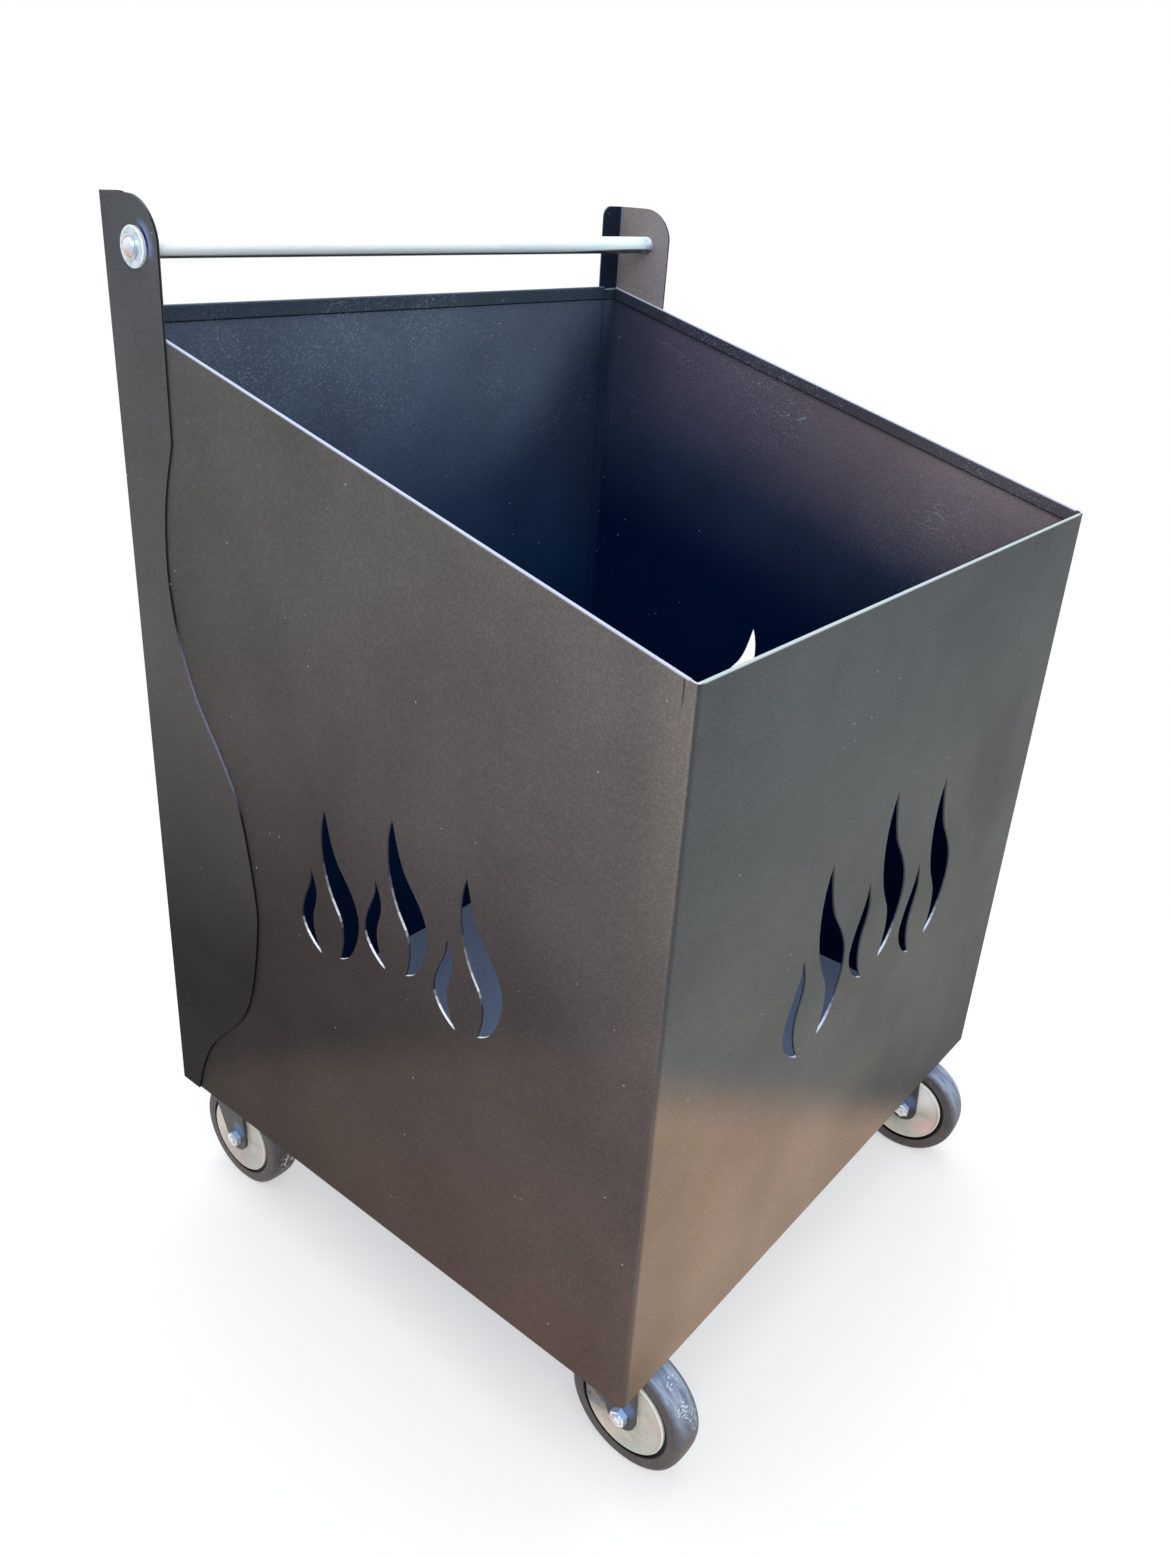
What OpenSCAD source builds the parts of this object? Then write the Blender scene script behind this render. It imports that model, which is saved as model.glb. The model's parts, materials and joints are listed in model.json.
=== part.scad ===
// Fireside log cart: a folded sheet-steel box with flame cut-outs, a round push
// handle between two angle brackets at the back, and four swivel castors.
// The origin is on the ground under the middle of the cart's overall length.
// +X is the right-hand side seen from the front, +Y points back to the handle, +Z up.
// All modules are drawn in box coordinates, where z = 0 is the lower edge of the
// skirt and y = 0 is the middle of the box; in_frame() sets them on the ground.

/* [Box] */
// Outside width of the box
body_w = 450; // [400:5:560]
// Outside depth of the box, front to back
body_d = 407; // [380:1:520]
// Height of the front rim above the lower edge of the skirt
front_h = 432; // [400:2:480]
// Height of the back rim above the lower edge of the skirt
back_h = 535; // [500:0.5:620]
// Thickness of the sheet steel
sheet = 1.5; // [1:0.1:1.8]
// Outside radius of the folded front and back corners
bend_r = 2.5; // [2:0.5:8]
// Height of the folded hem along the rims
hem_h = 9; // [8:0.5:14]
// Width of the flanges turned in at the back edges of the sides, over the outside
back_flange_w = 16; // [12:1:24]
// Height of the floor's top face above the lower edge of the skirt
floor_up = 17.5; // [15:0.5:17.5]
// Depth of the floor tray's turned-down edge, over the outside
floor_flange_h = 14; // [8:0.5:15]
// Clearance between the floor tray and the sides
floor_gap = 0.2; // [0.1:0.1:0.5]

/* [Flame cut-outs] */
// Height of the tip of the first tall flame above the lower edge of the skirt
flame_tip_z = 284; // [250:1:310]
// Distance from one pair of flames to the next on the front
flame_pitch = 71.2; // [66:0.2:90]
// How much higher the middle pair sits on the front
flame_rise = 20; // [0:1:40]
// How much higher the last pair sits than the first on the front
flame_end_rise = 4; // [0:0.5:10]
// Size of the flames on the sides against those on the front
side_flame_scale = 0.786; // [0.6:0.002:1]
// Sideways place of the middle tall flame's tip on the front
front_flame_x = 2.5; // [-30:0.5:30]
// How far in front of the middle of the sides the middle tall flame's tip lies
side_flame_y = 20.5; // [0:0.5:40]

/* [Handle] */
// Thickness of the bracket plate
bracket_t = 1.5; // [1.5:0.1:2.2]
// Width of the bracket's side leg at the handle bar
bracket_w = 52; // [46:1:62]
// Width of the bracket's back leg
bracket_back_w = 20; // [16:1:30]
// Outside radius of the bracket's bend
bracket_bend_r = 2.5; // [2.5:0.5:5]
// Radius of the bracket's front top corner
bracket_top_r = 25; // [10:1:28]
// Radius of the back leg's inner top corner
bracket_back_r = 8; // [2:1:12]
// Height of the brackets above the back rim
bracket_rise = 59; // [50:0.5:90]
// Depth of the brackets' neck, where the curved edge starts, below the back rim
bracket_neck_drop = 67.5; // [50:0.5:90]
// Diameter of the round handle bar
bar_d = 12; // [12:1:20]
// Depth of the bar's axis below the top of the brackets
bar_drop = 26; // [20:0.5:32]
// Distance from the back of the brackets to the bar's axis
bar_inset = 31; // [26:0.5:34]
// Depth of the threaded hole in each end of the bar
bar_hole_depth = 25; // [22:1:40]
// Diameter of the handle bolts' threads
handle_bolt_d = 6; // [5:1:8]
// Length of the handle bolts under the head
handle_bolt_l = 20; // [16:1:24]
// Diameter of the handle bolts' domed heads
handle_head_d = 10.5; // [10:0.5:12]
// Height of the handle bolts' heads with their flange
handle_head_h = 4.2; // [3:0.1:6]
// Diameter of the flange under each handle bolt's head
handle_flange_d = 12.5; // [12.5:0.5:17]
// Diameter of the washers under the handle bolts
handle_washer_d = 21.5; // [20:0.5:28]
// Thickness of the washers under the handle bolts
handle_washer_t = 2; // [1.2:0.1:2.5]

/* [Castors] */
// Overall height of a castor, from the floor's underside to the ground
caster_h = 105; // [102:1:116]
// Diameter of the castor wheels
wheel_d = 82; // [70:1:84]
// Width of the tyres
tyre_w = 21.5; // [18:0.5:22]
// Width of the wheel hubs over their faces
hub_w = 23; // [22:0.5:23]
// Diameter of the hub's flat face
hub_face_d = 57.4; // [48:0.2:58]
// Diameter of the hub under the tyre
hub_seat_d = 61.6; // [60:0.2:63]
// Distance from the swivel axis to the wheel's axis, level with the ground
caster_trail = 8; // [5:0.5:10]
// Distance from the side of the box to the front castors' swivel axes
caster_front_inset = 42; // [27:1:80]
// Distance from the side of the box to the back castors' swivel axes
caster_back_inset = 30; // [27:1:80]
// Distance from the front and the back of the box to the nearest swivel axes
caster_end_inset = 26.5; // [26:0.5:60]
// Turn of the front left castor at rest, in degrees
turn_front_left = 0; // [-30:1:30]
// Turn of the front right castor at rest, in degrees
turn_front_right = 7; // [-30:1:30]
// Turn of the back left castor at rest, in degrees
turn_back_left = 0; // [-30:1:30]
// Turn of the back right castor at rest, in degrees
turn_back_right = -6; // [-30:1:30]
// Thickness of the pressed fork
fork_t = 2.2; // [2:0.1:2.5]
// Gap between the fork's legs
fork_gap = 24; // [23.6:0.2:26]
// Radius of the fork's round end at the axle
fork_end_r = 10.5; // [9:0.5:13]
// Reach of the fork's crown in front of the swivel axis
fork_front = 15.5; // [15:0.5:21]
// Reach of the fork's crown behind the swivel axis
fork_back = 24.5; // [21:0.5:25]
// Outside radius of the swivel head
head_r = 21; // [20:0.5:21]
// Radius of the circle that the swivel's balls run on
ball_track_r = 16; // [14.5:0.5:16]
// Diameter of the swivel's balls
ball_d = 5; // [4:0.5:5]
// Number of balls in each swivel
ball_n = 14; // [8:1:15]
// Diameter of the threaded stem, and of the king pin at its lower end
stem_d = 10; // [8:0.5:12]
// Width across the flats of the nuts on the stems
stem_hex = 17; // [16:0.5:19]
// Height of the nuts on the stems
stem_nut_h = 8; // [6:0.5:10]
// Diameter of the washers under those nuts
stem_washer_d = 21; // [20:0.5:24]
// Thickness of the washers under those nuts
stem_washer_t = 2; // [1.5:0.1:2.5]
// Diameter of the axle bolts
axle_d = 6; // [5:0.5:8]
// Outside diameter of the steel sleeve round each axle bolt
sleeve_d = 12; // [11:0.5:14]
// Width across the flats of the axle bolts' heads and nuts
axle_hex = 10; // [9.5:0.5:14]
// Height of the axle bolts' heads
axle_head_h = 4; // [3:0.1:6]
// Height of the axle nuts
axle_nut_h = 4; // [3:0.5:7]

/* [Hidden] */
// Clearance of a running fit, on the radius
run_fit = 0.05;
// Clearance of a bolt in its hole, on the radius
bolt_fit = 0.25;
// Gap between parts that move past each other
part_gap = 0.3;
// Distance from a folded corner to the ends of the hems beside it
hem_stop = 2;
// Length of a bolt's end past its nut
bolt_end = 1;
// Number of sides that a round outline is drawn with
$fn = 64;

// Heights and places that follow from the sizes above
rim_angle = atan((back_h - front_h) / body_d);
floor_under = floor_up - sheet;
ride_h = caster_h - floor_under;
caster_y = body_d / 2 - caster_end_inset;
front_reach = caster_y + caster_trail + wheel_d / 2;
back_reach = max(body_d / 2 + bracket_t, caster_y - caster_trail + wheel_d / 2);
frame_y = (front_reach - back_reach) / 2;
bracket_top = back_h + bracket_rise;
bracket_neck = back_h - bracket_neck_drop;
bracket_y = body_d / 2 + bracket_t;
bar_y = bracket_y - bar_inset;
bar_z = bracket_top - bar_drop;

// Levels in a castor, measured from the floor's underside
axle_z = wheel_d / 2 - caster_h;
ball_z = -8.6;
crown_top = -16.6;
crown_bottom = crown_top - fork_t;
// Distance from the balls' middle to the faces of the two races
track_gap = 1.6;
// Wall of the swivel head, and thickness of the pressed lower race
head_wall = 1;
race_t = 2.2;
// Distance from the wheel's middle to the ends of the hub's seat under the tyre
seat_x = tyre_w / 2 - 2;
// Radius of the king pin's shoulder and of the rivet head under the lower race
shoulder_r = stem_d / 2 + 2.5;
rivet_r = stem_d / 2 + 3;
rivet_t = 1.5;

// One castor: side (-1 left, 1 right), end (-1 front, 1 back) and turn at rest
CASTERS = [
  [-1, -1, turn_front_left], [1, -1, turn_front_right],
  [-1, 1, turn_back_left], [1, 1, turn_back_right]
];

// The tall flame and the short flame as cubic curves: a start point, then two
// handles and an end point for each stretch, in mm from the flame's tip
TALL_FLAME = [
  [0, 0], [-11, -24], [-4.5, -60], [9.7, -79.5],
  [19.5, -92], [17, -109], [12.5, -122],
  [25, -118], [31, -106.5], [34.8, -88],
  [37, -67], [25, -55.5], [14, -41],
  [6, -29], [3, -10.5], [0, 0]
];
SHORT_FLAME = [
  [0, 0], [8, -17], [8, -22], [3, -36],
  [-1, -47], [3.3, -62.8], [10.3, -71.8],
  [9.5, -74.5], [-13, -60], [-12.1, -44],
  [-9, -23], [0.9, -20], [0, 0]
];
// The short flame's tip from the tall flame's tip
short_flame_at = [-18.4, -54.5];
// Straight steps in each stretch of a flame's edge
flame_steps = 9;

// The bracket's curved front edge from the foot to the neck: distance from the
// back of the bracket and height, for a neck 468 mm above the skirt's lower edge
BRACKET_EDGE = [
  [20.3, 0], [28, 24], [41.2, 50], [60, 71], [80.6, 95], [93.1, 125], [101.4, 172],
  [100.9, 200], [91.4, 251], [75.5, 283], [54.1, 316], [40.8, 351], [35.5, 392], [39.5, 433],
  [bracket_w - 2, 468]
];
// Straight steps between two points of the bracket's edge
edge_steps = 4;

// ---- Curves ----

// Point of the cubic curve with the points p[k] to p[k + 3] at share t
function cubic(p, k, t) =
  pow(1 - t, 3) * p[k] + 3 * pow(1 - t, 2) * t * p[k + 1]
  + 3 * (1 - t) * t * t * p[k + 2] + pow(t, 3) * p[k + 3];

// Closed outline of a flame, without its repeated last point
function flame_outline(p) = [
  for (k = [0:3:len(p) - 4], i = [0:flame_steps - 1]) cubic(p, k, i / flame_steps)
];

// Point on a smooth curve through the list p, at share t between p[i] and p[i + 1]
function through(p, i, t) =
  let (
    a = p[max(i - 1, 0)], b = p[i], c = p[i + 1], d = p[min(i + 2, len(p) - 1)],
    m = (c - a) / 2, n = (d - b) / 2
  )
  (2 * pow(t, 3) - 3 * t * t + 1) * b + (pow(t, 3) - 2 * t * t + t) * m
  + (3 * t * t - 2 * pow(t, 3)) * c + (pow(t, 3) - t * t) * n;

function smooth_line(p, steps) = concat(
  [for (i = [0:len(p) - 2], k = [0:steps - 1]) through(p, i, k / steps)], [p[len(p) - 1]]
);

// Touching point of the line from p to the circle round c, on the given side
function touch(c, r, p, side) =
  let (d = norm(p - c), dir = (p - c) / d, a = side * acos(r / d))
  c + r * [dir.x * cos(a) - dir.y * sin(a), dir.x * sin(a) + dir.y * cos(a)];

// ---- Shared shapes ----

// Rectangle from corner to corner with round corners
module round_rect(low, high, r) {
  translate([low.x + r, low.y]) square([high.x - low.x - 2 * r, high.y - low.y]);
  translate([low.x, low.y + r]) square([high.x - low.x, high.y - low.y - 2 * r]);
  for (x = [low.x + r, high.x - r], y = [low.y + r, high.y - r]) translate([x, y]) circle(r);
}

// Hexagon prism standing on z = 0
module hexagon(across, h) {
  cylinder(d = across / cos(30), h = h, $fn = 6);
}

// Round bar along X between two places
module bar_x(x0, x1, r) {
  translate([x0, 0, 0]) rotate([0, 90, 0]) cylinder(r = r, h = x1 - x0);
}

// Shape drawn in the YZ plane and given a thickness along X
module plate_x(x0, x1) {
  translate([x0, 0, 0]) rotate([90, 0, 90]) linear_extrude(x1 - x0) children();
}

// Shape drawn in the XZ plane and given a thickness along Y
module plate_y(y0, y1) {
  translate([0, y1, 0]) rotate([90, 0, 0]) linear_extrude(y1 - y0) children();
}

module in_frame() {
  translate([0, frame_y, ride_h]) children();
}

// ---- Box ----

// One pair of flames, with the tall flame's tip at the origin
module flame_pair() {
  polygon(flame_outline(TALL_FLAME));
  translate(short_flame_at) polygon(flame_outline(SHORT_FLAME));
}

// Three pairs of flames, with the middle pair raised
module flame_row() {
  lifts = [0, flame_rise, flame_end_rise];
  for (i = [0:2]) translate([(i - 1) * flame_pitch, lifts[i]]) flame_pair();
}

module side_flames() {
  scale(side_flame_scale) flame_row();
}

// Cutters for the flames in the front and in both sides
module flame_cutters() {
  cut = 3 * sheet;
  translate([front_flame_x, -body_d / 2 + cut / 2, flame_tip_z])
    rotate([90, 0, 0]) linear_extrude(cut) flame_row();
  translate([-body_w / 2 + cut / 2, -side_flame_y, flame_tip_z])
    rotate([90, 0, -90]) linear_extrude(cut) side_flames();
  translate([body_w / 2 - cut / 2, -side_flame_y, flame_tip_z])
    rotate([90, 0, 90]) linear_extrude(cut) side_flames();
}

// Everything below the sloping line that runs from the front to the back rim,
// lowered by drop, as a shape in the YZ plane
module below_rim(drop) {
  reach = 20;
  rise = reach * tan(rim_angle);
  polygon([
    [-body_d / 2 - reach, -reach], [body_d / 2 + reach, -reach],
    [body_d / 2 + reach, back_h + rise - drop], [-body_d / 2 - reach, front_h - rise - drop]
  ]);
}

// Plan of the folded sheet: left side, front, right side and two back flanges
module wrap_plan() {
  back = body_d / 2 - sheet;
  half = body_w / 2;
  difference() {
    round_rect([-half, -body_d / 2], [half, back], bend_r);
    round_rect([-half + sheet, -body_d / 2 + sheet], [half - sheet, back - sheet], bend_r - sheet);
    translate([-half + back_flange_w, 0]) square([body_w - 2 * back_flange_w, body_d]);
  }
}

// Hem along a side's sloping rim, on the inside of the sheet; sign is the side
module side_hem(sign) {
  fold = sheet / cos(rim_angle);
  y0 = -body_d / 2 + bend_r + hem_stop;
  y1 = body_d / 2 - 2 * sheet;
  inner = body_w / 2 - sheet;
  x0 = sign > 0 ? inner - sheet : -inner;
  intersection() {
    plate_x(x0, x0 + sheet) difference() {
      below_rim(fold);
      below_rim(hem_h);
    }
    translate([-body_w, y0, 0]) cube([2 * body_w, y1 - y0, 2 * back_h]);
  }
  intersection() {
    translate([sign * inner, -body_d / 2, front_h - fold])
      rotate([rim_angle, 0, 0]) translate([0, -body_d, 0]) rotate([-90, 0, 0])
        cylinder(r = sheet, h = 3 * body_d);
    translate([-body_w, y0, 0]) cube([2 * body_w, y1 - y0, 2 * back_h]);
  }
}

// Straight hem along X: a strip hanging from a rounded fold; side is the way it folds
module straight_hem(half, face_y, top, side) {
  y0 = side > 0 ? face_y : face_y - sheet;
  translate([-half, y0, top - hem_h]) cube([2 * half, sheet, hem_h - sheet]);
  translate([0, face_y, top - sheet]) bar_x(-half, half, sheet);
}

// Front corners of the folded sheet, cut level with the hems beside them
module rim_corners() {
  size = bend_r + hem_stop;
  intersection() {
    linear_extrude(2 * back_h) wrap_plan();
    plate_x(-body_w, body_w) below_rim(0);
    for (x = [-body_w / 2, body_w / 2 - size])
      translate([x, -body_d / 2, front_h - hem_h]) cube([size, size, 2 * hem_h]);
  }
}

module body_wrap() {
  color([0.24, 0.24, 0.25]) in_frame() difference() {
    union() {
      rim_corners();
      intersection() {
        linear_extrude(2 * back_h) wrap_plan();
        plate_x(-body_w, body_w) below_rim(sheet / cos(rim_angle));
        translate([-body_w, -body_d, 0]) cube([2 * body_w, 2 * body_d, 2 * back_h]);
      }
      side_hem(-1);
      side_hem(1);
      straight_hem(body_w / 2 - bend_r - hem_stop, -body_d / 2 + sheet, front_h, 1);
    }
    flame_cutters();
  }
}

module back_panel() {
  face = body_d / 2 - sheet;
  half = body_w / 2 - 1;
  hem_half = body_w / 2 - back_flange_w - part_gap;
  color([0.22, 0.22, 0.24]) in_frame() {
    translate([-half, face, 0]) cube([2 * half, sheet, back_h - sheet]);
    straight_hem(hem_half, face, back_h, -1);
  }
}

module floor_tray() {
  half = body_w / 2 - sheet - floor_gap;
  front = -body_d / 2 + sheet + floor_gap;
  back = body_d / 2 - 2 * sheet;
  color([0.2, 0.22, 0.28]) in_frame() difference() {
    translate([0, 0, floor_up - floor_flange_h])
      linear_extrude(floor_flange_h) round_rect([-half, front], [half, back], bend_r + 1);
    translate([0, 0, floor_up - floor_flange_h - 1]) linear_extrude(floor_flange_h + 1 - sheet)
      round_rect([-half + sheet, front + sheet], [half - sheet, back - sheet], bend_r + 1 - sheet);
    at_stems() cylinder(r = stem_d / 2 + bolt_fit, h = 4 * sheet, center = true);
  }
}

// ---- Handle ----

// Side view of a bracket, in the YZ plane
module bracket_side() {
  rise = bracket_neck / BRACKET_EDGE[len(BRACKET_EDGE) - 1].y;
  edge = [for (p = smooth_line(BRACKET_EDGE, edge_steps)) [bracket_y - p.x, p.y * rise]];
  front = bracket_y - bracket_w;
  difference() {
    polygon(concat([[bracket_y, 0]], edge, [[front, bracket_top], [bracket_y, bracket_top]]));
    translate([front, bracket_top - bracket_top_r]) difference() {
      translate([-1, 0]) square([bracket_top_r + 1, bracket_top_r + 1]);
      translate([bracket_top_r, 0]) circle(bracket_top_r);
    }
  }
}

// Back view of the right-hand bracket, in the XZ plane
module bracket_back() {
  outer = body_w / 2 + bracket_t;
  round_rect([outer - bracket_back_w, -bracket_back_r], [outer + bracket_back_r, bracket_top],
    bracket_back_r);
  translate([outer - bracket_back_w, 0]) square([bracket_back_w, bracket_top - bracket_back_r]);
  translate([outer - bracket_back_w / 2, 0]) square([bracket_back_w, bracket_top]);
}

// Plan of the right-hand bracket: two legs and a bend
module bracket_plan() {
  outer = body_w / 2 + bracket_t;
  inner_r = bracket_bend_r - bracket_t;
  difference() {
    round_rect([0, -body_d], [outer, bracket_y], bracket_bend_r);
    round_rect([-body_w, -2 * body_d], [outer - bracket_t, bracket_y - bracket_t], inner_r);
  }
}

module right_bracket_shape() {
  in_frame() difference() {
    intersection() {
      linear_extrude(bracket_top) bracket_plan();
      plate_x(0, body_w) bracket_side();
      plate_y(-body_d, body_d) bracket_back();
    }
    translate([0, bar_y, bar_z])
      bar_x(body_w / 2 - 1, body_w / 2 + 2 * bracket_t, handle_bolt_d / 2 + bolt_fit);
  }
}

module right_bracket() {
  color([0.25, 0.26, 0.27]) right_bracket_shape();
}

module left_bracket() {
  color([0.25, 0.26, 0.27]) mirror([1, 0, 0]) right_bracket_shape();
}

module handle_bar() {
  chamfer = 0.6;
  half = body_w / 2;
  hole_r = handle_bolt_d / 2 + run_fit;
  color([0.75, 0.76, 0.78]) in_frame() translate([0, bar_y, bar_z]) difference() {
    rotate([0, 90, 0]) rotate_extrude() polygon([
      [0, -half], [bar_d / 2 - chamfer, -half], [bar_d / 2, -half + chamfer],
      [bar_d / 2, half - chamfer], [bar_d / 2 - chamfer, half], [0, half]
    ]);
    bar_x(-half - 1, -half + bar_hole_depth, hole_r);
    bar_x(half - bar_hole_depth, half + 1, hole_r);
  }
}

// Domed bolt standing on its flange, shank down
module domed_bolt() {
  flange_t = 1.2;
  dome_h = handle_head_h - flange_t;
  dome_base = handle_head_d / 2;
  dome_r = (dome_base * dome_base + dome_h * dome_h) / (2 * dome_h);
  cylinder(d = handle_flange_d, h = flange_t);
  intersection() {
    cylinder(r = dome_base, h = handle_head_h);
    translate([0, 0, handle_head_h - dome_r]) sphere(dome_r);
  }
  translate([0, 0, -handle_bolt_l]) cylinder(d = handle_bolt_d, h = handle_bolt_l);
}

// Both outer faces of the brackets at the bar's axis, +Z pointing away from the box
module at_bar_ends() {
  for (s = [-1, 1]) translate([s * (body_w / 2 + bracket_t), bar_y, bar_z])
    rotate([0, s * 90, 0]) children();
}

module handle_bolts() {
  color([0.82, 0.84, 0.86]) in_frame() at_bar_ends()
    translate([0, 0, handle_washer_t]) domed_bolt();
}

module handle_washers() {
  hole_r = handle_bolt_d / 2 + bolt_fit;
  chamfer = 0.4;
  r = handle_washer_d / 2;
  color([0.8, 0.83, 0.86]) in_frame() at_bar_ends() difference() {
    rotate_extrude() polygon([
      [0, 0], [r, 0], [r, handle_washer_t - chamfer], [r - chamfer, handle_washer_t],
      [0, handle_washer_t]
    ]);
    translate([0, 0, -1]) cylinder(r = hole_r, h = handle_washer_t + 2);
  }
}

// ---- Castors ----

// Place of a castor's swivel axis at the floor's underside
module at_caster(c) {
  inset = c[1] < 0 ? caster_front_inset : caster_back_inset;
  translate([c[0] * (body_w / 2 - inset), c[1] * caster_y, floor_under]) children();
}

module in_turn(c) {
  in_frame() at_caster(c) rotate([0, 0, c[2]]) children();
}

module at_stems() {
  for (c = CASTERS) at_caster(c) children();
}

module stem_nuts() {
  color([0.78, 0.8, 0.82]) in_frame() at_stems() translate([0, 0, sheet + stem_washer_t])
    difference() {
      hexagon(stem_hex, stem_nut_h);
      translate([0, 0, -1]) cylinder(r = stem_d / 2 + run_fit, h = stem_nut_h + 2);
    }
}

module stem_washers() {
  color([0.8, 0.82, 0.84]) in_frame() at_stems() translate([0, 0, sheet]) difference() {
    cylinder(d = stem_washer_d, h = stem_washer_t);
    translate([0, 0, -1]) cylinder(r = stem_d / 2 + bolt_fit, h = stem_washer_t + 2);
  }
}

// Groove that the swivel's balls run in
module ball_groove() {
  rotate_extrude() translate([ball_track_r, ball_z]) circle(d = ball_d + 2 * part_gap);
}

// Cup with the upper race, clamped under the floor by the stem
module swivel_head(c) {
  top_t = 2.5;
  race_z = ball_z + track_gap;
  skirt_z = crown_top + 2;
  color([0.5, 0.52, 0.55]) in_frame() at_caster(c) difference() {
    translate([0, 0, skirt_z]) cylinder(r = head_r, h = -skirt_z);
    translate([0, 0, skirt_z - 1]) cylinder(r = head_r - head_wall, h = race_z - skirt_z + 1);
    translate([0, 0, -caster_h / 2]) cylinder(r = stem_d / 2 + run_fit, h = caster_h);
    translate([0, 0, race_z - 1]) cylinder(r = shoulder_r + run_fit, h = -top_t - race_z + 1);
    ball_groove();
  }
}

// Threaded stem with a shoulder; its lower end is the king pin, riveted over
module stem(c) {
  shoulder_top = -2.5;
  shoulder_bottom = ball_z - track_gap + part_gap;
  rivet_top = ball_z - ball_d / 2 - part_gap - race_t - part_gap;
  top = sheet + stem_washer_t + stem_nut_h + bolt_end;
  color([0.7, 0.72, 0.74]) in_frame() at_caster(c) {
    translate([0, 0, rivet_top]) cylinder(d = stem_d, h = top - rivet_top);
    translate([0, 0, shoulder_bottom]) cylinder(r = shoulder_r, h = shoulder_top - shoulder_bottom);
    translate([0, 0, rivet_top - rivet_t]) cylinder(r1 = rivet_r - rivet_t, r2 = rivet_r, h = rivet_t);
  }
}

module swivel_balls(c) {
  color([0.85, 0.86, 0.88]) in_frame() at_caster(c) for (i = [0:ball_n - 1])
    rotate([0, 0, i * 360 / ball_n]) translate([ball_track_r, 0, ball_z]) sphere(d = ball_d, $fn = 24);
}

// Side view of a fork leg, in the YZ plane: a wide top and a round end at the axle
module fork_side() {
  end = [-caster_trail, axle_z];
  front = [-fork_front, crown_top];
  back = [fork_back, crown_top];
  translate(end) circle(fork_end_r);
  polygon([front, touch(end, fork_end_r, front, 1), end, touch(end, fork_end_r, back, -1), back]);
}

// End view of the bent fork, in the XZ plane: a crown and two legs
module fork_bend() {
  bend = fork_t + 1.2;
  half = fork_gap / 2 + fork_t;
  deep = 2 * caster_h;
  difference() {
    round_rect([-half, -deep], [half, crown_top], bend);
    round_rect([-fork_gap / 2, -2 * deep], [fork_gap / 2, crown_bottom], bend - fork_t);
  }
}

// Pressed fork with the lower race raised out of its crown
module fork(c) {
  race_z = ball_z - track_gap;
  race_r = head_r - head_wall - part_gap;
  hollow_r = fork_gap / 2 - 0.5;
  hollow_z = ball_z - ball_d / 2 - part_gap - race_t;
  color([0.3, 0.3, 0.31]) in_turn(c) difference() {
    union() {
      intersection() {
        plate_y(-caster_h, caster_h) fork_bend();
        plate_x(-caster_h, caster_h) fork_side();
      }
      translate([0, 0, crown_bottom]) cylinder(r = race_r, h = race_z - crown_bottom);
    }
    ball_groove();
    translate([0, 0, -caster_h / 2]) cylinder(r = stem_d / 2 + run_fit, h = caster_h);
    translate([0, 0, crown_bottom - 1]) cylinder(r = hollow_r, h = hollow_z - crown_bottom + 1);
    translate([0, -caster_trail, axle_z]) bar_x(-caster_h, caster_h, axle_d / 2 + run_fit);
  }
}

// Place of a castor's axle, with the axle along X
module at_axle(c) {
  in_turn(c) translate([0, -caster_trail, axle_z]) children();
}

// Bolt through the fork, with its head on the right and its nut on the left
module axle_bolt(c) {
  face = fork_gap / 2 + fork_t;
  color([0.8, 0.83, 0.86]) at_axle(c) {
    translate([face, 0, 0]) rotate([0, 90, 0]) hexagon(axle_hex, axle_head_h);
    bar_x(-face - axle_nut_h - bolt_end, face, axle_d / 2);
  }
}

module axle_nut(c) {
  color([0.8, 0.83, 0.86]) at_axle(c) translate([-fork_gap / 2 - fork_t, 0, 0])
    rotate([0, -90, 0]) difference() {
      hexagon(axle_hex, axle_nut_h);
      translate([0, 0, -1]) cylinder(r = axle_d / 2 + run_fit, h = axle_nut_h + 2);
    }
}

// Steel sleeve clamped between the fork's legs; the hub turns on it
module sleeve(c) {
  color([0.7, 0.72, 0.75]) at_axle(c) difference() {
    bar_x(-fork_gap / 2, fork_gap / 2, sleeve_d / 2);
    bar_x(-fork_gap, fork_gap, axle_d / 2 + run_fit);
  }
}

module hub(c) {
  bore = sleeve_d / 2 + run_fit;
  boss = sleeve_d / 2 + 4;
  boss_x = fork_gap / 2 - part_gap;
  face = hub_w / 2;
  dish = 0.4;
  rim = hub_face_d / 2;
  half = [
    [bore, boss_x], [boss, boss_x], [boss + 1, face - dish], [rim - 2.4, face - dish],
    [rim - 1.4, face], [rim - 0.5, face], [rim, face - 0.5], [rim, seat_x], [hub_seat_d / 2, seat_x]
  ];
  far = [for (i = [len(half) - 1:-1:0]) [half[i].x, -half[i].y]];
  color([0.82, 0.81, 0.78]) at_axle(c) rotate([0, 90, 0]) rotate_extrude() polygon(concat(half, far));
}

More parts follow.
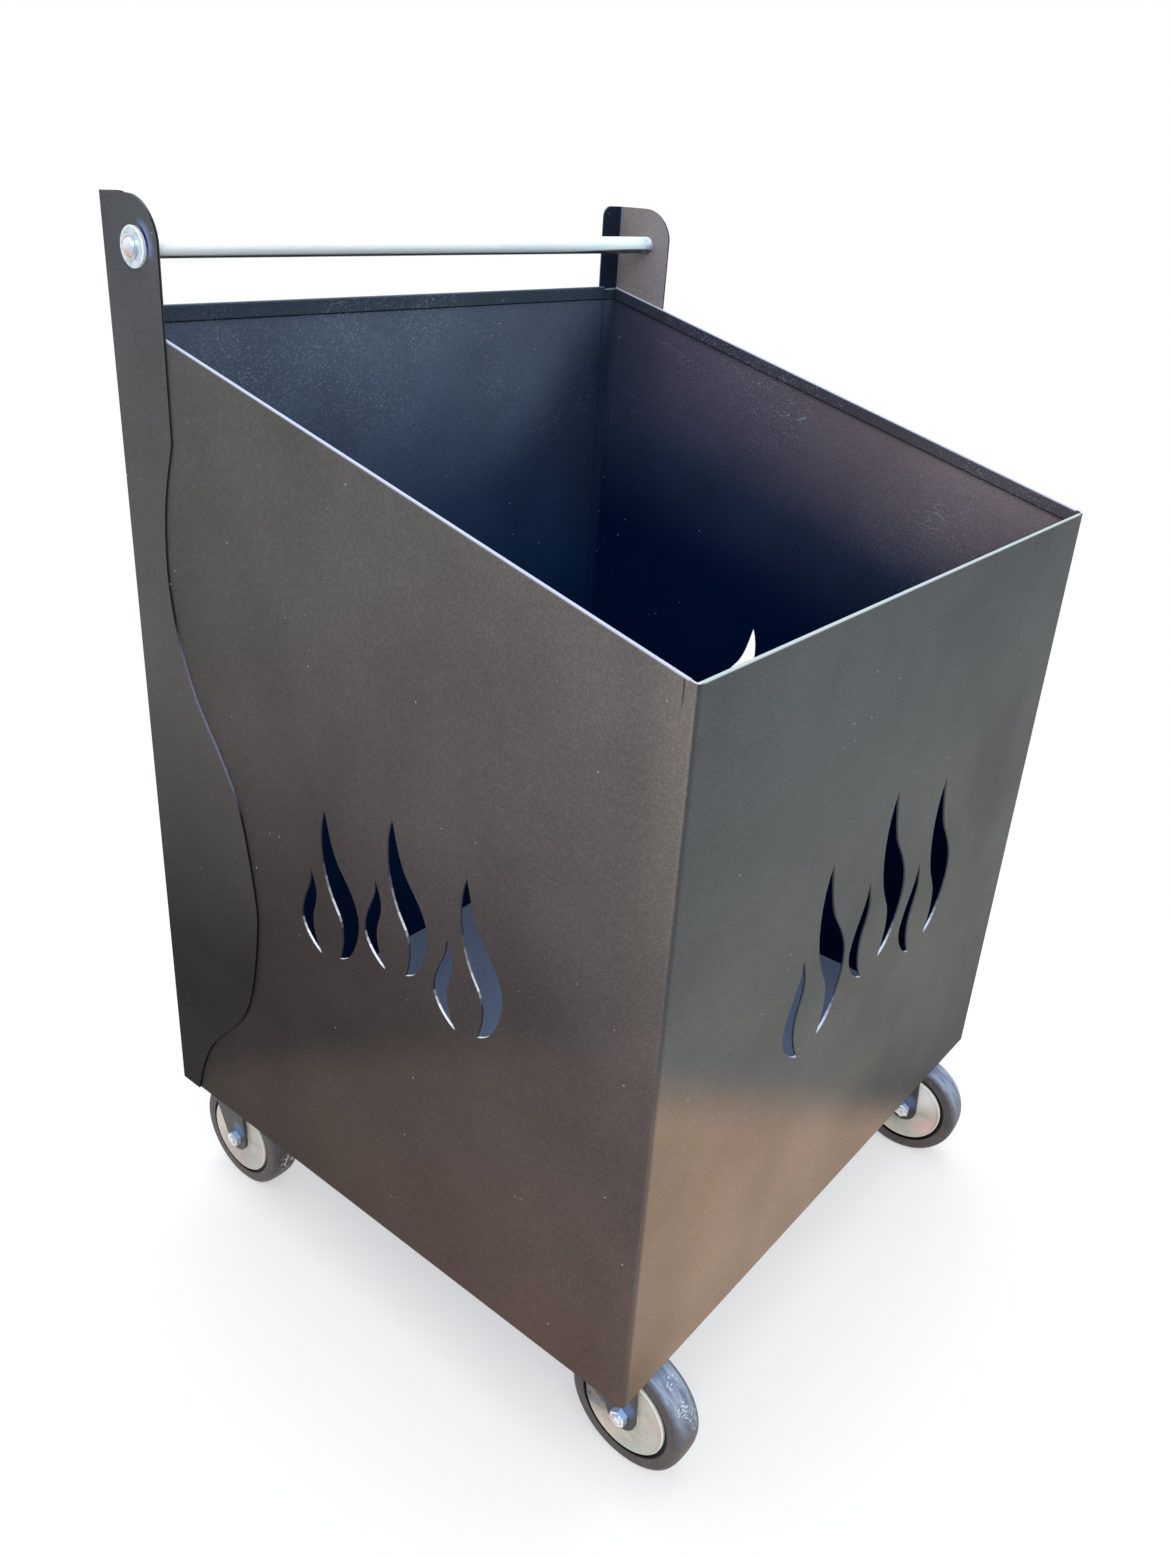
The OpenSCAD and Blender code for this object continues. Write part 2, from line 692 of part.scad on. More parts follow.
// Tyre moulded round the hub's seat, with a low lip inwards on both sides of it
module tyre(c) {
  seat = hub_seat_d / 2 + run_fit;
  lip = hub_face_d / 2 + run_fit;
  lip_in = seat_x + run_fit;
  lip_out = seat_x + 0.5;
  shoulder = wheel_d / 2 - 3;
  round = wheel_d / 2 - shoulder;
  steps = 20;
  tread = [
    for (i = [0:steps]) let (s = 1 - 2 * i / steps)
      [shoulder + round * pow(1 - pow(abs(s), 2.6), 1 / 2.6), s * tyre_w / 2]
  ];
  color([0.25, 0.26, 0.28]) at_axle(c) rotate([0, 90, 0]) rotate_extrude()
    polygon(concat(
      [[seat, lip_in], [lip, lip_in], [lip, lip_out], [seat, lip_out], [seat, tyre_w / 2]],
      tread,
      [[seat, -tyre_w / 2], [seat, -lip_out], [lip, -lip_out], [lip, -lip_in], [seat, -lip_in]]
    ));
}

body_wrap();
back_panel();
floor_tray();
left_bracket();
right_bracket();
handle_bar();
handle_bolts();
handle_washers();
stem_nuts();
stem_washers();
swivel_head(CASTERS[0]);  // front_left_head
stem(CASTERS[0]);  // front_left_stem
swivel_balls(CASTERS[0]);  // front_left_balls
fork(CASTERS[0]);  // front_left_fork
axle_bolt(CASTERS[0]);  // front_left_axle_bolt
axle_nut(CASTERS[0]);  // front_left_axle_nut
sleeve(CASTERS[0]);  // front_left_sleeve
hub(CASTERS[0]);  // front_left_hub
tyre(CASTERS[0]);  // front_left_tyre
swivel_head(CASTERS[1]);  // front_right_head
stem(CASTERS[1]);  // front_right_stem
swivel_balls(CASTERS[1]);  // front_right_balls
fork(CASTERS[1]);  // front_right_fork
axle_bolt(CASTERS[1]);  // front_right_axle_bolt
axle_nut(CASTERS[1]);  // front_right_axle_nut
sleeve(CASTERS[1]);  // front_right_sleeve
hub(CASTERS[1]);  // front_right_hub
tyre(CASTERS[1]);  // front_right_tyre
swivel_head(CASTERS[2]);  // back_left_head
stem(CASTERS[2]);  // back_left_stem
swivel_balls(CASTERS[2]);  // back_left_balls
fork(CASTERS[2]);  // back_left_fork
axle_bolt(CASTERS[2]);  // back_left_axle_bolt
axle_nut(CASTERS[2]);  // back_left_axle_nut
sleeve(CASTERS[2]);  // back_left_sleeve
hub(CASTERS[2]);  // back_left_hub
tyre(CASTERS[2]);  // back_left_tyre
swivel_head(CASTERS[3]);  // back_right_head
stem(CASTERS[3]);  // back_right_stem
swivel_balls(CASTERS[3]);  // back_right_balls
fork(CASTERS[3]);  // back_right_fork
axle_bolt(CASTERS[3]);  // back_right_axle_bolt
axle_nut(CASTERS[3]);  // back_right_axle_nut
sleeve(CASTERS[3]);  // back_right_sleeve
hub(CASTERS[3]);  // back_right_hub
tyre(CASTERS[3]);  // back_right_tyre
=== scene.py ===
import json
import math

import bmesh
import bpy
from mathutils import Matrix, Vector


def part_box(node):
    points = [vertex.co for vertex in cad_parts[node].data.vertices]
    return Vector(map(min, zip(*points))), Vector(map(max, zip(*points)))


# The fireside log cart's looks: materials, floor, light and camera. The solids carry every
# shape, so no piece is added or replaced here. Metres, in the cart's frame.

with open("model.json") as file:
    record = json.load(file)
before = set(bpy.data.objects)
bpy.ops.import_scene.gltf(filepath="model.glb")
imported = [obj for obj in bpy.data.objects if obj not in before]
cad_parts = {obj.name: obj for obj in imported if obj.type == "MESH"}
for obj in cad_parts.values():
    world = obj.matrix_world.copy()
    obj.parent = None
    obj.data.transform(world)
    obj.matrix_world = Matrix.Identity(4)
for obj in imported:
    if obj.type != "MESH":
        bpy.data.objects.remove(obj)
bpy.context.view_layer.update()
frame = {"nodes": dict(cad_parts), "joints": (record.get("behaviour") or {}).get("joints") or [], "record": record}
NODES = frame["nodes"]
JOINTS = {j["name"]: j for j in frame["joints"]}
CASTORS = ["front_left", "front_right", "back_left", "back_right"]

MM = 0.001

# Places taken from the solids: outer faces, rims, brackets, and the handle's bolts and washers
WRAP_LOW, WRAP_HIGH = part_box("body_wrap")
BACK_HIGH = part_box("back_panel")[1]
BRACKET_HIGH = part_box("left_bracket")[1]
BOLTS_LOW, BOLTS_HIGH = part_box("handle_bolts")
WASHERS_LOW, WASHERS_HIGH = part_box("handle_washers")
FRONT_Y = WRAP_LOW.y
BACK_Y = BACK_HIGH.y
BRACKET_Y = BRACKET_HIGH.y
SKIRT_Z = WRAP_LOW.z
HALF_W = WRAP_HIGH.x
FRONT_H = 432 * MM
FRONT_RIM = SKIRT_Z + FRONT_H
BACK_RIM = BACK_HIGH.z
RIM_SLOPE = (BACK_RIM - FRONT_RIM) / (BACK_Y - FRONT_Y)
HEM_H = 10 * MM

# Radii of a wheel: its tread, the seam between tyre and hub, and the hub's flat face
WHEEL_R = 41 * MM
SEAM_R = 32 * MM
HUB_FACE_R = 28 * MM
HUB_FACE = -11  # The face's place along the axle, in mm

# The photograph's size, and the camera that was worked out from the cart in it
PHOTO_W, PHOTO_H = 1170, 1558
FOCAL_PX = 1244.56
CENTRE_X_PX, CENTRE_Y_PX = 584.59, 750.65
SENSOR_W = 36.0
CAMERA_PLACE = (-0.62332, -0.44960, 0.70786)
CAMERA_TURN = (64.9688, -3.3751, -50.5076)

BLACK = (0.0, 0.0, 0.0)
# The coats' soft reflections are part of their tones, so they mirror next to nothing
COAT_SPECULAR = 0.02


# ---- Node helpers ----

class Nodes:
    """Short calls to build a material's node tree."""

    def __init__(self, name):
        self.mat = bpy.data.materials.new(name)
        self.mat.use_nodes = True
        self.tree = self.mat.node_tree
        self.tree.nodes.clear()
        self.out = self.new("ShaderNodeOutputMaterial")
        self.coord = self.new("ShaderNodeTexCoord")

    def new(self, kind, **props):
        n = self.tree.nodes.new(kind)
        for k, v in props.items():
            setattr(n, k, v)
        return n

    def put(self, socket, value):
        if isinstance(value, bpy.types.NodeSocket):
            self.tree.links.new(value, socket)
        elif isinstance(value, (tuple, list)) and len(value) == 3 and socket.type == "RGBA":
            socket.default_value = (*value, 1)
        else:
            socket.default_value = value

    def obj(self):
        return self.coord.outputs["Object"]

    def normal(self):
        return self.coord.outputs["Normal"]

    def math(self, op, a, b=None, c=None):
        n = self.new("ShaderNodeMath", operation=op)
        for i, v in enumerate((a, b, c)):
            if v is not None:
                self.put(n.inputs[i], v)
        return n.outputs[0]

    def plus(self, a, b):
        return self.math("ADD", a, b)

    def minus(self, a, b):
        return self.math("SUBTRACT", a, b)

    def times(self, a, b):
        return self.math("MULTIPLY", a, b)

    def absolute(self, a):
        return self.math("ABSOLUTE", a)

    def hypot(self, a, b):
        return self.math("SQRT", self.plus(self.times(a, a), self.times(b, b)))

    def split(self, vector):
        """The x, y and z of a vector."""
        n = self.new("ShaderNodeSeparateXYZ")
        self.put(n.inputs[0], vector)
        return tuple(n.outputs)

    def vec(self, op, a, b=None):
        n = self.new("ShaderNodeVectorMath", operation=op)
        self.put(n.inputs[0], a)
        if b is not None:
            self.put(n.inputs[1], b)
        return n.outputs["Value" if op in ("LENGTH", "DOT_PRODUCT") else "Vector"]

    def stretch(self, *scale):
        """The point's place, with x, y and z scaled one by one, for streaky noise."""
        return self.vec("MULTIPLY", self.obj(), scale)

    def noise(self, scale, detail=2.0, rough=0.5, vector=None, distortion=0.0):
        n = self.new("ShaderNodeTexNoise")
        self.put(n.inputs["Vector"], vector if vector is not None else self.obj())
        n.inputs["Scale"].default_value = scale
        n.inputs["Detail"].default_value = detail
        n.inputs["Roughness"].default_value = rough
        n.inputs["Distortion"].default_value = distortion
        return n.outputs["Fac"]

    def cells(self, scale):
        """Distance to the middle of the nearest of many scattered cells."""
        n = self.new("ShaderNodeTexVoronoi")
        self.put(n.inputs["Vector"], self.obj())
        n.inputs["Scale"].default_value = scale
        return n.outputs["Distance"]

    def ramp(self, value, low, high, out_low=0.0, out_high=1.0, smooth=True):
        n = self.new("ShaderNodeMapRange", clamp=True)
        n.interpolation_type = "SMOOTHSTEP" if smooth else "LINEAR"
        self.put(n.inputs["Value"], value)
        for k, v in (("From Min", low), ("From Max", high), ("To Min", out_low), ("To Max", out_high)):
            n.inputs[k].default_value = v
        return n.outputs["Result"]

    def mix(self, factor, a, b):
        """Colours a and b mixed; the node's inputs 6 and 7 and its output 2 are the colour ones."""
        n = self.new("ShaderNodeMix", data_type="RGBA")
        self.put(n.inputs["Factor"], factor)
        self.put(n.inputs[6], a)
        self.put(n.inputs[7], b)
        return n.outputs[2]

    def gloss(self, cloud, low, high):
        """Roughness between two values that follows a cloudy noise."""
        return self.ramp(cloud, 0.2, 0.8, low, high)

    def bump(self, height, strength, distance, normal=None):
        n = self.new("ShaderNodeBump")
        n.inputs["Strength"].default_value = strength
        n.inputs["Distance"].default_value = distance
        self.put(n.inputs["Height"], height)
        if normal is not None:
            self.put(n.inputs["Normal"], normal)
        return n.outputs[0]

    def principled(self, **inputs):
        n = self.new("ShaderNodeBsdfPrincipled")
        for k, v in inputs.items():
            self.put(n.inputs[k.replace("_", " ")], v)
        self.tree.links.new(n.outputs[0], self.out.inputs["Surface"])
        return n


def srgb(r, g, b):
    """A colour as it looks, 0 to 255, as the shader's own numbers."""
    return tuple(((c / 255 + 0.055) / 1.055) ** 2.4 for c in (r, g, b))


# ---- Powder coat of the box and the brackets ----

def coat_marks(m, tone, rough, marks=0.25):
    """Satin powder coat over a tone: orange peel, slow drift, dust specks and light scuffs."""
    grit = 0.20
    drift = m.noise(3.2, 3.0, 0.55)
    cloud = m.noise(13.0, 4.0, 0.6)
    peel = m.noise(860.0, 2.0, 0.5)
    grain = m.noise(1500.0, 1.0, 0.5)
    tone = m.mix(m.ramp(drift, 0.35, 0.65, 0.0, 0.14), tone, BLACK)
    tone = m.mix(m.ramp(cloud, 0.3, 0.75, 0.0, 0.12), tone, BLACK)
    tone = m.mix(m.ramp(peel, 0.40, 0.72, 0.0, grit), tone, m.vec("MULTIPLY", tone, (2.3, 2.3, 2.35)))
    tone = m.mix(m.ramp(grain, 0.62, 0.35, 0.0, grit * 0.6), tone, BLACK)
    specks = m.ramp(m.cells(95.0), 0.065, 0.025)
    chance = m.ramp(m.noise(60.0, 1.0), 0.52, 0.62)
    tone = m.mix(m.times(m.times(specks, chance), 0.75), tone, (0.46, 0.47, 0.46))
    streaks = m.noise(26.0, 3.0, 0.6, m.stretch(1.0, 1.0, 0.1), 0.4)
    scuff = m.times(m.ramp(streaks, 0.66, 0.76), m.ramp(drift, 0.5, 0.7))
    tone = m.mix(m.times(scuff, marks), tone, (0.16, 0.17, 0.18))
    rough_map = m.plus(m.gloss(cloud, rough - 0.03, rough + 0.05), m.times(scuff, 0.08))
    height = m.plus(peel, m.times(grain, 0.35))
    low = m.bump(m.noise(5.0, 1.0), 0.10, 0.004)
    return tone, rough_map, m.bump(height, 0.16, 0.0004, low)


def facing_up(m, share, low=0.45, high=0.88):
    """Share of a surface that faces up, for painted highlights: rounded hems and the cut-outs' lower edges."""
    return m.ramp(m.split(m.normal())[2], low, high, 0.0, share)


def height_share(m, low, high):
    """Share of the way up between two heights above the skirt's lower edge."""
    return m.ramp(m.split(m.obj())[2], SKIRT_Z + low, SKIRT_Z + high, smooth=False)


def rim_depth(m):
    """Depth of a point below the sloping line of the side rims."""
    _, y, z = m.split(m.obj())
    rim = m.math("MULTIPLY_ADD", y, RIM_SLOPE, FRONT_RIM - RIM_SLOPE * FRONT_Y)
    return m.minus(rim, z)


def dust(m, tone, amount):
    """Pale dust and short scratches, thickest near the rims."""
    depth = rim_depth(m)
    where = m.times(m.ramp(depth, 0.16, 0.0), m.ramp(m.noise(9.0, 3.0), 0.38, 0.62))
    fine = m.ramp(m.noise(760.0, 2.0, 0.6), 0.56, 0.68)
    tone = m.mix(m.times(m.times(fine, where), amount), tone, srgb(150, 166, 184))
    line = m.noise(24.0, 2.0, 0.5, m.stretch(1.0, 1.0, 3.2), 1.6)
    edge = m.absolute(m.minus(line, 0.5))
    scratch = m.times(m.ramp(edge, 0.006, 0.002), m.ramp(m.noise(17.0, 1.0), 0.55, 0.65))
    scratch = m.times(scratch, m.ramp(depth, 0.12, 0.01))
    return m.mix(m.times(scratch, amount), tone, srgb(160, 172, 186))


def hem_band(m, tone, depth):
    """The hems' bands inside the rims are a little darker, with a dark line of painted shade under them."""
    band = m.times(m.ramp(depth, HEM_H, HEM_H - 1.2 * MM), 0.62)
    tone = m.mix(band, tone, srgb(40, 50, 60))
    line = m.times(m.ramp(depth, HEM_H - 1.6 * MM, HEM_H - 1.1 * MM),
                   m.ramp(depth, HEM_H, HEM_H - 0.6 * MM))
    return m.mix(m.times(line, 0.7), tone, srgb(10, 14, 20))


def inside_tone(m):
    """Inside of the box in painted sky light and shade: dusty blue-grey near the rims, deep navy far down."""
    x, y, _ = m.split(m.obj())
    depth = rim_depth(m)
    right = m.ramp(x, HALF_W - 10 * MM, HALF_W - 1 * MM)
    # Shade in the back right corner, wider further down
    corner = m.ramp(m.plus(x, depth), 0.185, 0.280)
    high = m.mix(corner, srgb(88, 103, 122), srgb(43, 54, 76))
    # Painted shade on the right side, deeper near the back corner
    by_corner = m.ramp(y, BACK_Y - 75 * MM, BACK_Y - 10 * MM)
    high = m.mix(right, high, m.mix(by_corner, srgb(92, 86, 104), srgb(62, 66, 84)))
    # A painted reflection lightens the right side high up, towards the front
    near = m.ramp(y, FRONT_Y + 340 * MM, FRONT_Y + 10 * MM)
    high = m.mix(m.times(near, right), high, srgb(144, 129, 134))
    middle = m.mix(m.times(corner, 0.4), srgb(48, 64, 90), srgb(20, 36, 62))
    middle = m.mix(right, middle, srgb(47, 59, 83))
    deep = m.mix(right, srgb(10, 38, 74), srgb(1, 24, 60))
    # Painted shade deepens on the way down, faster on the right side
    fall = m.times(depth, m.math("MULTIPLY_ADD", right, 0.38, 1.0))
    tone = m.mix(m.ramp(fall, 0.012, 0.15, smooth=False), high, middle)
    tone = m.mix(m.ramp(fall, 0.09, 0.27), tone, deep)
    patches = m.ramp(m.noise(8.0, 4.0, 0.62, None, 0.5), 0.44, 0.64, 0.0, 0.22)
    tone = m.mix(patches, tone, m.vec("MULTIPLY", tone, (0.55, 0.62, 0.68)))
    return dust(m, hem_band(m, tone, depth), 0.5)


def side_tone(m, y, z):
    """Outer faces of the sides: warm graphite with painted shade to the back and painted light higher up."""
    back = m.ramp(y, FRONT_Y, BACK_Y, smooth=False)
    low = m.mix(back, srgb(93, 76, 70), srgb(61, 55, 51))
    middle = m.mix(back, srgb(86, 79, 78), srgb(61, 54, 52))
    high = m.mix(back, srgb(108, 104, 103), srgb(85, 87, 86))
    tone = m.mix(height_share(m, 0.0, 0.22), low, middle)
    tone = m.mix(height_share(m, 0.22, 0.46), tone, high)
    # A painted highlight in a strip beside the front fold, strongest high up
    beside = m.ramp(y, FRONT_Y + 30 * MM, FRONT_Y + 2 * MM)
    where = m.math("MAXIMUM", height_share(m, 0.22, 0.42), m.times(height_share(m, 0.16, 0.03), 0.15))
    tone = m.mix(m.times(beside, m.times(where, 0.64)), tone, srgb(128, 121, 115))
    # A shade lies over the side's lower back corner, above a lighter strip along its edge
    steep = 1.6
    foot = FRONT_Y + steep * SKIRT_Z
    slant = m.math("MULTIPLY_ADD", z, steep, y)
    shade = m.times(m.ramp(slant, foot + 0.38, foot + 0.45), height_share(m, 0.30, 0.14))
    return m.mix(m.times(shade, 0.5), tone, srgb(22, 24, 26))


def front_tone(m, x, z):
    """Outer face of the front: a cooler grey, with warm light on its lower left."""
    tone = m.mix(height_share(m, 0.08, 0.40), srgb(96, 96, 92), srgb(82, 87, 89))
    tone = m.mix(height_share(m, 0.09, 0.02), tone, srgb(82, 82, 81))
    # The warm light covers a wedge: widest along the lower edge, narrow higher up
    dx = m.plus(x, HALF_W)
    dz = m.minus(z, SKIRT_Z)
    wedge = m.ramp(m.math("MULTIPLY_ADD", dz, 1.5, dx), 0.368, 0.290)
    warm = m.mix(height_share(m, 0.03, 0.12), srgb(153, 132, 115), srgb(140, 119, 103))
    warm = m.mix(m.ramp(dx, 0.02, 0.08), srgb(140, 120, 103), warm)
    tone = m.mix(wedge, tone, warm)
    # It is weaker right in the lower corner, and painted shade makes the fold darker and cooler
    tone = m.mix(m.ramp(m.hypot(dx, dz), 0.045, 0.0, 0.0, 0.6), tone, srgb(98, 82, 76))
    fold = m.ramp(dx, 5 * MM, 1.5 * MM)
    return m.mix(m.times(fold, 0.65), tone, srgb(66, 64, 72))


def crease(m, x, y, z):
    """Share of the painted shade of the short crease in the left side by the front corner, under the hem's end."""
    across = m.absolute(m.minus(y, FRONT_Y + 6.8 * MM))
    share = m.times(m.ramp(across, 0.8 * MM, 0.3 * MM), m.ramp(z, FRONT_RIM - 16 * MM, FRONT_RIM - 6 * MM))
    return m.times(share, m.ramp(x, 0.0, -10 * MM))


def lit_edges(m, tone, y):
    """Light on what faces up: the rims, and the lower edges of the flames."""
    cut = m.ramp(rim_depth(m), 0.01, 0.02)
    up = m.split(m.normal())[2]
    ahead = m.ramp(y, FRONT_Y + 6 * MM, FRONT_Y + 4 * MM)
    # On the sides' flames two broad ramps keep the light unbroken, and flat lower ends stay dark
    steep = m.plus(m.ramp(up, 0.15, 0.50, 0.0, 0.40), m.ramp(up, 0.48, 0.60, 0.0, 0.60))
    steep = m.times(steep, m.ramp(up, 0.995, 0.93, 0.02, 1.0))
    lit = m.mix(m.times(cut, m.minus(1.0, ahead)), facing_up(m, 1.0, 0.3, 0.85), steep)
    rim = m.mix(ahead, srgb(184, 190, 214), srgb(178, 190, 194))
    edge = m.mix(cut, rim, m.mix(ahead, srgb(236, 242, 250), srgb(196, 208, 234)))
    return m.mix(m.times(lit, 0.92), tone, edge)


def wrap_coat(name):
    """The folded sheet: sides and front, inside and out, and its lit edges."""
    m = Nodes(name)
    x, y, z = m.split(m.obj())
    on_front = m.ramp(y, FRONT_Y + 1.2 * MM, FRONT_Y + 0.4 * MM)
    outside = m.mix(on_front, side_tone(m, y, z), front_tone(m, x, z))
    # Painted shade in the short crease by the front corner
    outside = m.mix(m.times(crease(m, x, y, z), 0.65), outside, srgb(48, 42, 42))
    past_x = m.ramp(m.absolute(x), HALF_W - 1.2 * MM, HALF_W - 0.8 * MM)
    outer = m.math("MAXIMUM", past_x, m.ramp(y, FRONT_Y + 1.2 * MM, FRONT_Y + 0.8 * MM))
    # Painted shade on the strip turned in along the back edge of each side, as dark as the corner
    strip = m.ramp(y, BACK_Y - 5 * MM, BACK_Y - 4 * MM)
    inside = inside_tone(m)
    inside = m.mix(m.times(strip, 0.6), inside, m.vec("MULTIPLY", inside, (0.35, 0.5, 0.6)))
    tone, rough, normal = coat_marks(m, m.mix(outer, inside, outside), 0.46)
    tone = lit_edges(m, tone, y)
    m.principled(Base_Color=tone, Roughness=rough, Normal=normal, Specular_IOR_Level=COAT_SPECULAR)
    return m.mat


def back_coat(name):
    """The back panel: like the sheet's inside, with a shade to the right, and graphite behind."""
    m = Nodes(name)
    x, y, _ = m.split(m.obj())
    outer = m.ramp(y, BACK_Y - 0.8 * MM, BACK_Y - 0.4 * MM)
    corner = m.ramp(x, 0.15, HALF_W, 0.0, 0.4)
    inner = m.mix(corner, inside_tone(m), srgb(14, 26, 50))
    tone = m.mix(outer, inner, m.mix(height_share(m, 0.0, 0.5), srgb(74, 68, 66), srgb(92, 91, 91)))
    tone, rough, normal = coat_marks(m, tone, 0.48, 0.5)
    # A painted highlight on the rim, where it faces up
    tone = m.mix(facing_up(m, 0.6), tone, srgb(104, 126, 134))
    m.principled(Base_Color=tone, Roughness=rough, Normal=normal, Specular_IOR_Level=COAT_SPECULAR)
    return m.mat


def plain_coat(name, low, high, rough):
    """Coat of the floor tray and the castors' heads, with one tone at its foot and one higher up."""
    m = Nodes(name)
    tone, rough_map, normal = coat_marks(m, m.mix(height_share(m, 0.0, 0.5), low, high), rough)
    m.principled(Base_Color=tone, Roughness=rough_map, Normal=normal, Specular_IOR_Level=0.12)
    return m.mat


def bracket_inner(m, x, y):
    """A bracket's inner faces: pale side leg, dark navy back leg, and a light line along the bend."""
    # Painted light and shade on the side leg: lighter towards the front, dark low down
    ahead = m.ramp(y, BRACKET_Y - 20 * MM, BRACKET_Y - 50 * MM)
    side = m.mix(ahead, srgb(138, 131, 130), srgb(150, 143, 150))
    inner = m.mix(height_share(m, 0.30, 0.50), srgb(60, 58, 64), side)
    # Painted shade on the back leg
    leg = m.ramp(y, BRACKET_Y - 6.2 * MM, BRACKET_Y - 5.4 * MM)
    inner = m.mix(leg, inner, srgb(30, 38, 54))
    # A painted highlight along the bend
    bend = m.times(m.ramp(y, BRACKET_Y - 6.4 * MM, BRACKET_Y - 5.2 * MM),
                   m.ramp(y, BRACKET_Y - 2.8 * MM, BRACKET_Y - 4 * MM))
    bend = m.times(bend, m.ramp(m.absolute(x), HALF_W - 6 * MM, HALF_W - 3 * MM))
    return m.mix(m.times(bend, 0.75), inner, srgb(150, 148, 166))


def bracket_edge(m, tone, y):
    """A bracket's cut edge: painted shade beside the sheet, with one stretch that catches the light."""
    thin = m.ramp(m.absolute(m.split(m.normal())[0]), 0.6, 0.3)
    thin = m.times(thin, m.ramp(y, BRACKET_Y - 12 * MM, BRACKET_Y - 16 * MM))
    lit = m.times(height_share(m, 0.25, 0.27), m.minus(1.0, height_share(m, 0.34, 0.36)))
    rim = m.mix(lit, srgb(10, 8, 10), srgb(112, 116, 146))
    return m.mix(m.times(thin, 0.85), tone, rim)


def from_middle(m, low, high):
    """Depth and height from the middle of the handle's bolts or washers, and distance from their axis."""
    middle = (low + high) / 2
    _, y, z = m.split(m.obj())
    dy = m.minus(y, middle.y)
    dz = m.minus(z, middle.z)
    return dy, dz, m.hypot(dy, dz)


def washer_sheen(m, tone, x):
    """Painted blue sheen on the left bracket, ahead of and above the washer, with thin painted shade inside."""
    dy, dz, ring = from_middle(m, BOLTS_LOW, BOLTS_HIGH)
    turn = m.math("DIVIDE", m.minus(m.times(dz, 0.42), m.times(dy, 0.907)), ring)
    where = m.times(m.ramp(turn, 0.60, 1.0), m.ramp(x, -HALF_W + 1 * MM, -HALF_W))
    sheen = m.times(m.ramp(ring, 19 * MM, 12.5 * MM), where)
    tone = m.mix(m.times(sheen, 0.62), tone, srgb(140, 156, 206))
    # A thin line of painted shade round the washer's edge
    seam_shade = m.times(m.ramp(ring, 13.4 * MM, 12.6 * MM), where)
    return m.mix(m.times(seam_shade, 0.95), tone, srgb(16, 34, 86))


def bracket_coat(name):
    """Bracket plate: painted shade dark at the foot, lighter up to the handle."""
    m = Nodes(name)
    x, y, _ = m.split(m.obj())
    outer = m.mix(height_share(m, 0.13, 0.36), srgb(40, 39, 36), srgb(90, 89, 86))
    outer = m.mix(height_share(m, 0.40, 0.56), outer, srgb(85, 88, 92))
    past = m.math("MAXIMUM", m.ramp(m.absolute(x), HALF_W + 0.4 * MM, HALF_W + 0.9 * MM),
                  m.ramp(y, BRACKET_Y - 1 * MM, BRACKET_Y - 0.5 * MM))
    tone = m.mix(past, bracket_inner(m, x, y), outer)
    tone = washer_sheen(m, bracket_edge(m, tone, y), x)
    tone, rough, normal = coat_marks(m, tone, 0.44, 0.5)
    # A painted highlight where the plate's edges face up
    tone = m.mix(facing_up(m, 0.25), tone, srgb(150, 152, 166))
    m.principled(Base_Color=tone, Roughness=rough, Normal=normal, Specular_IOR_Level=COAT_SPECULAR)
    return m.mat


# ---- Zinc ----

def plated(m, tone, cloud, metallic, rough, spread, grain):
    """Finish of a plated piece: its gloss follows the clouds, over a fine grain."""
    normal = m.bump(m.noise(grain, 2.0), 0.14, 0.0002)
    m.principled(Base_Color=tone, Metallic=metallic, Normal=normal,
                 Roughness=m.gloss(cloud, rough, rough + spread))
    return m.mat


def zinc(name, base, rough):
    """Bright zinc plating: cloudy sheen with fine pits."""
    m = Nodes(name)
    cloud = m.noise(140.0, 3.0, 0.6)
    tone = m.mix(m.ramp(cloud, 0.3, 0.7), base, tuple(c * 0.82 for c in base))
    pits = m.ramp(m.noise(900.0, 1.0), 0.62, 0.72, 0.0, 0.35)
    tone = m.mix(pits, tone, tuple(c * 0.45 for c in base))
    return plated(m, tone, cloud, 1.0, rough, 0.12, 1800.0)


def washer_zinc(name):
    """Flat washers: a pitted blue-white face with a painted highlight on the rim."""
    m = Nodes(name)
    dy, dz, ring = from_middle(m, WASHERS_LOW, WASHERS_HIGH)
    cloud = m.noise(190.0, 3.0, 0.6)
    tone = m.mix(m.ramp(cloud, 0.35, 0.65), srgb(222, 236, 244), srgb(198, 214, 224))
    tone = m.mix(m.ramp(m.noise(900.0, 2.0), 0.54, 0.64, 0.0, 0.5), tone, srgb(128, 148, 158))
    # The painted highlight lies on the rim's upper front side
    ahead = m.ramp(m.minus(dz, dy), -4 * MM, 8 * MM)
    tone = m.mix(m.times(m.ramp(ring, 9.7 * MM, 10.3 * MM), ahead), tone, srgb(240, 246, 250))
    return plated(m, tone, cloud, 0.4, 0.3, 0.12, 1800.0)


